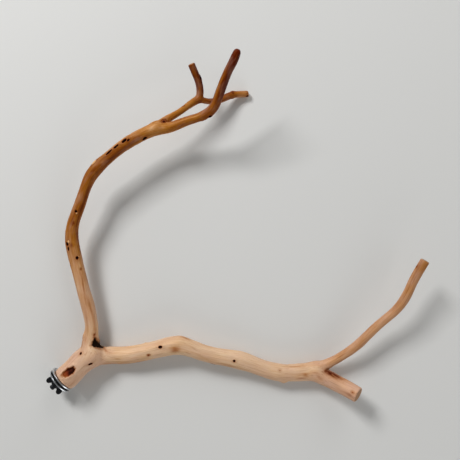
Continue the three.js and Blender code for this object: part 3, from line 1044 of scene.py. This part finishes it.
def weighted(tree, base, value, amount):
    """base + amount * (value - 0.5), kept as one chain of sums."""
    low = -amount / 2
    scaled = add(tree, "ShaderNodeMath", {0: value, 1: amount, 2: low}, operation="MULTIPLY_ADD")
    return add(tree, "ShaderNodeMath", {0: base, 1: scaled.outputs[0]}).outputs[0]


def mixed(tree, share, first, second, blend="MIX"):
    """Two colours mixed by a share."""
    return add(tree, "ShaderNodeMix", {0: share, 6: first, 7: second},
               data_type="RGBA", blend_type=blend).outputs[2]


def peeled_wood_material(settings):
    """Peeled hardwood, barked with a knife, washed and dried, with no varnish.

    The eye gets pale sapwood that darkens to orange-brown heart tones in the thin limbs, fine
    lengthwise fibres, brown stains round the knots, and the low sheen of hand-rubbed wood.
    """
    material, tree, shader = new_material("peeled hardwood, washed and dried")

    def layer(name, output="Fac"):
        return add(tree, "ShaderNodeAttribute", attribute_name=name).outputs[output]

    place = layer("grain_place", "Vector")
    fibres = grain_noise(tree, place, "fibres")
    cloud = grain_noise(tree, place, "cloud")
    patches = grain_noise(tree, place, "patches")
    flecks = grain_noise(tree, place, "flecks")
    fleck = add(tree, "ShaderNodeMapRange", {0: flecks, 1: 0.66, 2: 0.8}).outputs[0]

    # The shade holds the wood's tone, and the painted shade and painted highlights of some streaks.
    shade = weighted(tree, layer("wood_tone_and_painted_light"), cloud, CLOUD_SHADE)
    shade = weighted(tree, shade, patches, PATCH_SHADE)
    shade = weighted(tree, shade, fibres, FIBRE_SHADE)
    colour = add(tree, "ShaderNodeValToRGB", {0: shade})
    set_ramp(colour, [
        (0.0, settings.sapwood), (0.2, settings.cream), (0.4, settings.tan),
        (0.62, settings.orange), (0.8, settings.brown), (1.0, settings.dark),
    ])
    lines = grain_noise(tree, place, "lines")
    line = add(tree, "ShaderNodeMapRange", {0: lines, 1: 0.56, 2: 0.74, 4: 0.5}).outputs[0]
    blush = grain_noise(tree, place, "blush")
    rosy = weighted(tree, layer("rosy"), blush, BLUSH_SHARE)
    rosy = add(tree, "ShaderNodeClamp", {"Value": rosy, "Max": 0.9}).outputs[0]
    body = mixed(tree, rosy, colour.outputs[0], (*settings.rose, 1))
    # Stains darken the wood here, with the painted shade that some streaks lay down.
    stain_share = add(
        tree, "ShaderNodeMath", {0: layer("stain_and_painted_shade"), 1: STAIN_SHARE}, operation="MULTIPLY")
    body = mixed(tree, stain_share.outputs[0], body, (*settings.stain_and_painted_shade, 1), "MULTIPLY")
    body = mixed(tree, line, body, (*settings.stain_and_painted_shade, 1), "MULTIPLY")
    fleck_share = add(tree, "ShaderNodeMath", {0: fleck, 1: FLECK_SHARE}, operation="MULTIPLY")
    body = mixed(tree, fleck_share.outputs[0], body, (*settings.stain_and_painted_shade, 1), "MULTIPLY")
    body = mixed(tree, layer("pale_scar"), body, (*settings.scar, 1))

    hollow = layer("hollow")
    inside = add(tree, "ShaderNodeValToRGB", {0: hollow})
    set_ramp(inside, [(0.0, settings.stain_and_painted_shade), (0.45, settings.red_heart),
                      (0.75, settings.maroon), (1.0, settings.hole)])
    hollow_share = add(tree, "ShaderNodeMapRange", {0: hollow, 1: 0.02, 2: 0.35}).outputs[0]
    body = mixed(tree, hollow_share, body, inside.outputs[0])

    bark_noise = grain_noise(tree, place, "bark")
    bark = add(tree, "ShaderNodeValToRGB", {0: bark_noise})
    set_ramp(bark, [(0.3, settings.hole), (0.7, settings.bark)])
    body = mixed(tree, layer("old_bark"), body, bark.outputs[0])

    girth = add(tree, "ShaderNodeVectorMath", {0: place, 1: (0, 1, 1)}, operation="MULTIPLY")
    out = add(tree, "ShaderNodeVectorMath", {0: girth.outputs[0]}, operation="LENGTH")
    wobble = weighted(tree, out.outputs["Value"], cloud, 1.2)
    years = add(tree, "ShaderNodeMath", {0: wobble, 1: YEAR_RING}, operation="DIVIDE")
    ring = add(tree, "ShaderNodeMath", {0: years.outputs[0]}, operation="FRACT")
    sawn = mixed(tree, ring.outputs[0], (*settings.sawn, 1), (*settings.sawn_dark, 1))
    body = mixed(tree, layer("end_grain"), body, sawn)
    tree.links.new(body, shader.inputs["Base Color"])

    rough = weighted(tree, settings.roughness, fibres, FIBRE_ROUGHNESS)
    dull = add(tree, "ShaderNodeMath", {0: hollow, 1: layer("old_bark")}, operation="MAXIMUM")
    rough = add(tree, "ShaderNodeMath", {0: dull.outputs[0], 1: DULL_ROUGHNESS, 2: rough},
                operation="MULTIPLY_ADD")
    tree.links.new(rough.outputs[0], shader.inputs["Roughness"])
    gleam = add(
        tree, "ShaderNodeMapRange", {0: dull.outputs[0], 3: WOOD_GLEAM, 4: DEAD_GLEAM})
    darkened = add(tree, "ShaderNodeMapRange", {0: layer("wood_tone_and_painted_light"), 1: 0.5, 3: 1.0, 4: 0.35})
    gleam = add(tree, "ShaderNodeMath", {0: gleam.outputs[0], 1: darkened.outputs[0]},
                operation="MULTIPLY")
    tree.links.new(gleam.outputs[0], shader.inputs["Specular IOR Level"])
    shader.inputs["Specular Tint"].default_value = (*settings.gleam, 1)
    shader.inputs["IOR"].default_value = WOOD_IOR

    relief = weighted(tree, fibres, cloud, 0.4)
    relief = weighted(tree, relief, bark_noise, 0.2)
    bump = add(tree, "ShaderNodeBump", {
        "Height": relief, "Strength": 0.5, "Distance": GRAIN_RELIEF * MM})
    tree.links.new(bump.outputs[0], shader.inputs["Normal"])
    return material


def zinc_material(settings):
    """Mild steel, zinc plated, gone dull on the flats and rubbed bright on the edges, with painted
    shade in the dull flats and painted highlights on the bright edges.

    The eye gets thin bright rims round cloudy dark grey faces with soft, slightly grainy glints.
    """
    material, tree, shader = new_material("mild steel, zinc plated, dulled")
    place = add(tree, "ShaderNodeTexCoord").outputs["Object"]
    cloud = add(tree, "ShaderNodeTexNoise", {
        "Vector": place, "Scale": 1 / (ZINC_CLOUD * MM), "Detail": 3.0}).outputs["Fac"]
    grit = add(tree, "ShaderNodeTexNoise", {
        "Vector": place, "Scale": 1 / (ZINC_GRIT * MM), "Detail": 2.0}).outputs["Fac"]
    wear_and_painted_light = add(tree, "ShaderNodeAttribute", attribute_name="wear_and_painted_light").outputs["Fac"]
    bright = weighted(tree, wear_and_painted_light, cloud, 0.4)
    colour = add(tree, "ShaderNodeValToRGB", {0: bright})
    set_ramp(colour, [(0.1, settings.zinc_dull_and_painted_shade), (0.8, settings.zinc)])
    tree.links.new(colour.outputs[0], shader.inputs["Base Color"])
    rough = add(tree, "ShaderNodeMapRange", {0: bright, 3: 0.5, 4: 0.22})
    tree.links.new(rough.outputs[0], shader.inputs["Roughness"])
    shader.inputs["Metallic"].default_value = 1.0
    bump = add(tree, "ShaderNodeBump", {"Height": grit, "Strength": 0.25, "Distance": 0.02 * MM})
    tree.links.new(bump.outputs[0], shader.inputs["Normal"])
    return material


def black_steel_material(settings):
    """Cast steel, blackened and oiled.

    The eye gets a near-black satin skin with the fine pitting of the casting and a dull gleam.
    """
    material, tree, shader = new_material("cast steel, blackened")
    place = add(tree, "ShaderNodeTexCoord").outputs["Object"]
    pits = add(tree, "ShaderNodeTexNoise", {
        "Vector": place, "Scale": 1 / (CAST_PIT * MM), "Detail": 3.0}).outputs["Fac"]
    colour = add(tree, "ShaderNodeValToRGB", {0: pits})
    set_ramp(colour, [(0.35, settings.black), (0.75, settings.black_worn)])
    tree.links.new(colour.outputs[0], shader.inputs["Base Color"])
    rough = weighted(tree, 0.45, pits, 0.2)
    tree.links.new(rough, shader.inputs["Roughness"])
    shader.inputs["Metallic"].default_value = 0.7
    bump = add(tree, "ShaderNodeBump", {"Height": pits, "Strength": 0.4, "Distance": 0.05 * MM})
    tree.links.new(bump.outputs[0], shader.inputs["Normal"])
    return material


# ---------------------------------------------------------------- the fitting in the butt

ROUND = 72
THREAD_STEPS = 12  # rows of mesh to one turn of thread
NUT_MESH = 0.22  # size of the faces of the wing nut's skin, in mm


def fitting_axes():
    """Directions of the fitting: level, upward and out of the butt along the bolt."""
    out = Vector(frame["record"]["mounts"][0]["axis"]).normalized()
    level = Vector(UP).cross(out).normalized()
    return Matrix((level, out.cross(level), out))


def fitting_box(name):
    """Lowest and highest corner of a CAD node, along the fitting's own directions."""
    turn = fitting_axes()
    places = np.array([turn @ corner.co for corner in frame["nodes"][name].data.vertices])
    return places.min(axis=0), places.max(axis=0)


def bolt_middle():
    """Where the bolt's axis passes, along the fitting's two cross directions."""
    low, high = fitting_box("hanger_bolt")
    return (low + high)[:2] / 2


def placed_grid(name, radius, height, closed_ends, wear_and_painted_light):
    """A round mesh from tables of radii, heights, and wear with painted light, a row to each ring, on
    the bolt's axis.
    """
    rows, columns = radius.shape
    turn = np.linspace(0, math.tau, columns, endpoint=False)
    middle = bolt_middle()
    local = np.stack([
        middle[0] + radius * np.cos(turn), middle[1] + radius * np.sin(turn),
        np.broadcast_to(height, radius.shape)], axis=-1).reshape(-1, 3)
    points = local @ np.array(fitting_axes())
    faces = []
    for row in range(rows if not closed_ends else rows - 1):
        above = (row + 1) % rows
        for column in range(columns):
            beside = (column + 1) % columns
            faces.append((row * columns + column, row * columns + beside,
                          above * columns + beside, above * columns + column))
    if closed_ends:
        faces.append(tuple(range(columns))[::-1])
        faces.append(tuple(range((rows - 1) * columns, rows * columns)))
    mesh = bpy.data.meshes.new(name)
    mesh.from_pydata(points.tolist(), [], faces)
    mesh.polygons.foreach_set("use_smooth", [len(face) == 4 for face in faces])
    layer = mesh.attributes.new("wear_and_painted_light", "FLOAT", "POINT")
    layer.data.foreach_set("value", np.broadcast_to(wear_and_painted_light, radius.shape).astype(np.float32).ravel())
    return mesh


def thread_depth(turns, sharpness):
    """Share of the full thread depth at a place along a helix: 0 at a crest, 1 in a root."""
    wave = np.abs((turns % 1) * 2 - 1)
    return np.clip((wave - 0.5) * sharpness + 0.5, 0, 1)


def hanger_bolt_mesh(settings):
    """Machine thread outside, plain shank, and a coarse wood thread that tapers to a point."""
    low, high = fitting_box("hanger_bolt")
    face = fitting_box("inner_washer")[0][2]
    full = (high[0] - low[0]) / 2
    heights = np.arange(low[2], high[2], settings.pitch / THREAD_STEPS)
    heights = np.append(heights, high[2])[:, None]
    turn = np.linspace(0, 1, ROUND, endpoint=False)[None]
    machine = thread_depth(heights / settings.pitch - turn, 1.15) * settings.thread_depth
    wood = thread_depth(heights / settings.wood_pitch - turn, 2.2) * settings.wood_thread_depth
    taper = np.clip((heights - low[2]) / settings.point_length, 0.02, 1)
    shank_start, shank_end = face - 4 * MM, face - 1 * MM
    outside = heights > shank_end
    inside = heights < shank_start
    radius = np.where(outside, full - machine, np.where(inside, full - wood, full - 0.1 * MM))
    chamfer = np.clip((high[2] - heights) / settings.chamfer, 0, 1)
    radius = np.minimum(radius, full - (1 - chamfer) * settings.chamfer)
    # Dull dark grey all over and darkest in the thread's roots: dulled plating, with painted shade.
    wear_and_painted_light = 0.15 * (1 - machine / settings.thread_depth)
    return placed_grid("hanger_bolt_steel", radius * taper, heights, True, wear_and_painted_light)


def washer_mesh(name, settings):
    """A stamped washer: one edge rolled over by the punch, the other left with a slight burr."""
    low, high = fitting_box(name)
    middle = bolt_middle()
    outer = high[0] - middle[0]
    inner = settings.bore_radius
    thick = high[2] - low[2]
    roll, burr = 0.35 * thick, 0.06 * thick
    profile = []
    for corner_x, corner_z, size, first in (
        (outer, thick, roll, 0), (inner, thick, roll, 90),
        (inner, 0, burr, 180), (outer, 0, burr, 270),
    ):
        inward = 1 if corner_x == inner else -1
        across_x = corner_x + inward * size
        across_z = corner_z - size if corner_z else size
        for step in range(5):
            angle = math.radians(first + 22.5 * step)
            profile.append((across_x + size * math.cos(angle), across_z + size * math.sin(angle)))
    profile = np.array(profile)
    radius = np.repeat(profile[:, :1], 2 * ROUND, axis=1)
    # Bright rims round dark grey faces: rubbed plating, with painted highlights on the rims and
    # painted shade on the faces.
    wear_and_painted_light = 0.75 * np.clip((profile[:, :1] - outer) / (0.3 * thick) + 1, 0, 1)
    return placed_grid(name + "_steel", radius, low[2] + profile[:, 1:], False, wear_and_painted_light)


def wing_nut_mesh():
    """The wing nut with the soft corners and fillets of a casting."""
    source = frame["nodes"]["wing_nut"].data.copy()
    thing = bpy.data.objects.new("nut_work", source)
    bpy.context.scene.collection.objects.link(thing)
    remesh = thing.modifiers.new("Even skin", "REMESH")
    remesh.mode = "VOXEL"
    remesh.voxel_size = NUT_MESH * MM
    smooth = thing.modifiers.new("Cast corners", "SMOOTH")
    smooth.factor = 0.6
    smooth.iterations = 9
    shaped = thing.evaluated_get(bpy.context.evaluated_depsgraph_get())
    mesh = bpy.data.meshes.new_from_object(shaped)
    bpy.data.objects.remove(thing)
    mesh.polygons.foreach_set("use_smooth", [True] * len(mesh.polygons))
    mesh.materials.clear()
    return mesh


def add_piece(name, mesh, body, material):
    """Puts a finished mesh in the scene in place of the CAD node that it stands for."""
    mesh.materials.clear()
    mesh.materials.append(material)
    piece = bpy.data.objects.new(name + "_look", mesh)
    bpy.context.scene.collection.objects.link(piece)
    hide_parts(name)
    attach(piece, body)
    return piece


# ---------------------------------------------------------------- settings


def colour_setting(name, description, hex_colour):
    return FloatVectorProperty(
        name=name, description=description, subtype="COLOR", size=3, min=0, max=1,
        default=linear(hex_colour))


class PerchWoodSettings(bpy.types.PropertyGroup):
    mesh_size: FloatProperty(
        name="Mesh size", description="Size of the faces of the wood's skin",
        default=0.55 * MM, unit="LENGTH")
    quick_mesh_size: FloatProperty(
        name="Quick mesh size", description="Size of the faces while trying things out",
        default=0.9 * MM, unit="LENGTH")
    roughness: FloatProperty(
        name="Roughness", description="Roughness of the rubbed wood", default=0.44, min=0, max=1)
    sapwood: colour_setting("Sapwood", "Palest wood, on the thick limb", "e8caa6")
    cream: colour_setting("Cream", "Common colour of the thick limb", "dab48a")
    tan: colour_setting("Tan", "Wood of the stub and the low arch", "c68d55")
    orange: colour_setting("Orange", "Wood of the arching limb", "a8691f")
    brown: colour_setting("Brown", "Wood of the upper arch and the forked twig", "8c4a0e")
    dark: colour_setting("Dark", "Wood of the thinnest twigs", "5e1a02")
    gleam: colour_setting("Gleam", "Warm cast of the light that the rubbed wood throws back", "ffd2a4")
    rose: colour_setting("Rose", "Blush of the thick wood", "d2aa92")
    # Also the colour of the painted shade that some streaks lay down.
    stain_and_painted_shade: colour_setting("Stain", "Brown that knots have bled into the wood", "a4611c")
    scar: colour_setting("Scar", "Pared places", "dcaa74")
    red_heart: colour_setting("Red heart", "Lighter dead wood in the wound", "7c2c10")
    maroon: colour_setting("Maroon", "Dark dead wood in the wound", "3c1008")
    hole: colour_setting("Hole", "Inside of the knot holes", "120503")
    bark: colour_setting("Bark", "Bark left in the crotch", "1d110b")
    sawn: colour_setting("Sawn", "Sawn ends between the rings", "b0804f")
    sawn_dark: colour_setting("Sawn ring", "Rings in the sawn ends", "84522a")


class PerchFittingSettings(bpy.types.PropertyGroup):
    pitch: FloatProperty(
        name="Pitch", description="Rise of the machine thread in one turn",
        default=1.0 * MM, unit="LENGTH")
    thread_depth: FloatProperty(
        name="Thread depth", description="Depth of the machine thread",
        default=0.61 * MM, unit="LENGTH")
    wood_pitch: FloatProperty(
        name="Wood pitch", description="Rise of the wood thread in one turn",
        default=2.5 * MM, unit="LENGTH")
    wood_thread_depth: FloatProperty(
        name="Wood thread depth", description="Depth of the wood thread",
        default=0.9 * MM, unit="LENGTH")
    point_length: FloatProperty(
        name="Point", description="Length of the tapered point", default=5 * MM, unit="LENGTH")
    chamfer: FloatProperty(
        name="Chamfer", description="Chamfer at the bolt's outer end",
        default=0.8 * MM, unit="LENGTH")
    bore_radius: FloatProperty(
        name="Bore", description="Radius of the hole in a washer",
        default=3.3 * MM, unit="LENGTH")
    # The bright zinc also paints highlights on the washers' rims, and the dull zinc paints shade on
    # their faces and on the bolt.
    zinc: colour_setting("Zinc", "Bright zinc plating", "d3d6da")
    zinc_dull_and_painted_shade: colour_setting("Dull zinc", "Plating gone grey on the flats", "4a4c50")
    black: colour_setting("Black", "Blackened casting", "101114")
    black_worn: colour_setting("Worn black", "Blackening rubbed thin", "2a2b2f")


class PerchStageSettings(bpy.types.PropertyGroup):
    camera_height: FloatProperty(
        name="Camera height", description="Height of the camera above the floor",
        default=0.640, unit="LENGTH")
    lens: FloatProperty(
        name="Lens", description="Focal length on a 36 mm wide sensor, in mm",
        default=43.43, min=1)
    floor: colour_setting("Floor", "Plain pale floor", "dededc")
    ambient: FloatProperty(
        name="Ambient light", description="Strength of the even light all round",
        default=0.24, min=0)


# ---------------------------------------------------------------- operators


class PERCH_OT_stage(bpy.types.Operator):
    """Lay the floor, hang the lights and set the camera straight above the perch."""

    bl_idname = "perch.stage"
    bl_label = "Set the stage"

    CAMERA_ASIDE = (-4.5 * MM, 2.7 * MM)
    FLOOR_SIZE = 6.0
    FLOOR_DROP = 0.4 * MM  # the floor lies this far under the CAD's, so no swelling cuts it
    # Each light's name, place, size and power: metres and watts.
    LIGHTS = (
        ("key", (-1.25, 1.55, 1.55), 0.65, 46.0),
        ("fill", (1.60, -0.60, 1.60), 1.60, 5.0),
        ("back", (0.70, 2.00, 1.10), 1.20, 10.0),
        ("low", (0.55, -1.85, 0.50), 1.40, 12.0),
    )

    def execute(self, context):
        settings = context.scene.perch_stage
        self.lay_floor(settings)
        for name, place, size, power in self.LIGHTS:
            self.hang_light(name, Vector(place), size, power)
        self.set_camera(context, settings)
        world = bpy.data.worlds.new("Plain pale surroundings")
        world.use_nodes = True
        background = world.node_tree.nodes["Background"]
        background.inputs["Color"].default_value = (*settings.floor, 1)
        background.inputs["Strength"].default_value = settings.ambient
        context.scene.world = world
        context.scene.view_settings.view_transform = "Standard"
        return {"FINISHED"}

    def lay_floor(self, settings):
        half = self.FLOOR_SIZE / 2
        mesh = bpy.data.meshes.new("floor")
        corners = [(x, y, -self.FLOOR_DROP) for x, y in
                   ((-half, -half), (half, -half), (half, half), (-half, half))]
        mesh.from_pydata(corners, [], [(0, 1, 2, 3)])
        material, tree, shader = new_material("matt board, painted")
        shader.inputs["Base Color"].default_value = (*settings.floor, 1)
        shader.inputs["Roughness"].default_value = 0.7
        mesh.materials.append(material)
        floor = bpy.data.objects.new("floor", mesh)
        bpy.context.scene.collection.objects.link(floor)

    def hang_light(self, name, place, size, power):
        lamp = bpy.data.lights.new(name, "AREA")
        lamp.size = size
        lamp.energy = power
        light = bpy.data.objects.new(name, lamp)
        light.location = place
        light.rotation_euler = (-place).to_track_quat("-Z", "Y").to_euler()
        bpy.context.scene.collection.objects.link(light)

    def set_camera(self, context, settings):
        lens = bpy.data.cameras.new("camera")
        lens.sensor_width = 36
        lens.lens = settings.lens
        lens.clip_start = 0.01
        camera = bpy.data.objects.new("camera", lens)
        camera.location = (*self.CAMERA_ASIDE, settings.camera_height)
        context.scene.collection.objects.link(camera)
        context.scene.camera = camera


class PERCH_OT_wood(bpy.types.Operator):
    """Grow the nine limbs of peeled wood as one skin, mark them and part them at the forks."""

    bl_idname = "perch.grow_wood"
    bl_label = "Grow the wood"

    def execute(self, context):
        settings = context.scene.perch_wood
        material = peeled_wood_material(settings)
        size = settings.mesh_size
        for name, mesh in grow_wood(size / MM).items():
            if len(mesh.polygons) == 0:
                raise RuntimeError(f"{name} has no wood left after the parting")
            add_piece(name, mesh, "perch", material)
        return {"FINISHED"}


class PERCH_OT_hanger_bolt(bpy.types.Operator):
    """Cut the hanger bolt with its machine thread and its wood thread."""

    bl_idname = "perch.cut_hanger_bolt"
    bl_label = "Cut the hanger bolt"

    def execute(self, context):
        settings = context.scene.perch_fitting
        mesh = hanger_bolt_mesh(settings)
        add_piece("hanger_bolt", mesh, "perch", zinc_material(settings))
        return {"FINISHED"}


class PERCH_OT_washers(bpy.types.Operator):
    """Stamp the two washers that clamp the cage wires."""

    bl_idname = "perch.stamp_washers"
    bl_label = "Stamp the washers"

    def execute(self, context):
        settings = context.scene.perch_fitting
        material = zinc_material(settings)
        for name, body in (("inner_washer", "perch"), ("outer_washer", "clamp_washer")):
            add_piece(name, washer_mesh(name, settings), body, material)
        return {"FINISHED"}


class PERCH_OT_wing_nut(bpy.types.Operator):
    """Cast the wing nut."""

    bl_idname = "perch.cast_wing_nut"
    bl_label = "Cast the wing nut"

    def execute(self, context):
        material = black_steel_material(context.scene.perch_fitting)
        add_piece("wing_nut", wing_nut_mesh(), "nut", material)
        return {"FINISHED"}


class PERCH_PT_panel(bpy.types.Panel):
    """The perch's steps and settings, in the 3D view's sidebar."""

    bl_idname = "PERCH_PT_panel"
    bl_label = "Natural Wood Perch"
    bl_space_type = "VIEW_3D"
    bl_region_type = "UI"
    bl_category = "Perch"

    def draw(self, context):
        for step in OPERATORS:
            self.layout.operator(step.bl_idname)
        scene = context.scene
        for group in (scene.perch_wood, scene.perch_fitting, scene.perch_stage):
            box = self.layout.box()
            for name in group.bl_rna.properties.keys():
                if name not in ("rna_type", "name"):
                    box.prop(group, name)


OPERATORS = (
    PERCH_OT_stage, PERCH_OT_wood, PERCH_OT_hanger_bolt, PERCH_OT_washers, PERCH_OT_wing_nut,
)
SETTINGS = {
    "perch_wood": PerchWoodSettings,
    "perch_fitting": PerchFittingSettings,
    "perch_stage": PerchStageSettings,
}


def register():
    for kind in (*SETTINGS.values(), *OPERATORS, PERCH_PT_panel):
        bpy.utils.register_class(kind)
    for name, kind in SETTINGS.items():
        setattr(bpy.types.Scene, name, PointerProperty(type=kind))


def unregister():
    for name in SETTINGS:
        delattr(bpy.types.Scene, name)
    for kind in (PERCH_PT_panel, *reversed(OPERATORS), *SETTINGS.values()):
        bpy.utils.unregister_class(kind)


def main():
    register()
    bpy.ops.perch.stage()
    bpy.ops.perch.grow_wood()
    bpy.ops.perch.cut_hanger_bolt()
    bpy.ops.perch.stamp_washers()
    bpy.ops.perch.cast_wing_nut()


if __name__ == "__main__":
    main()
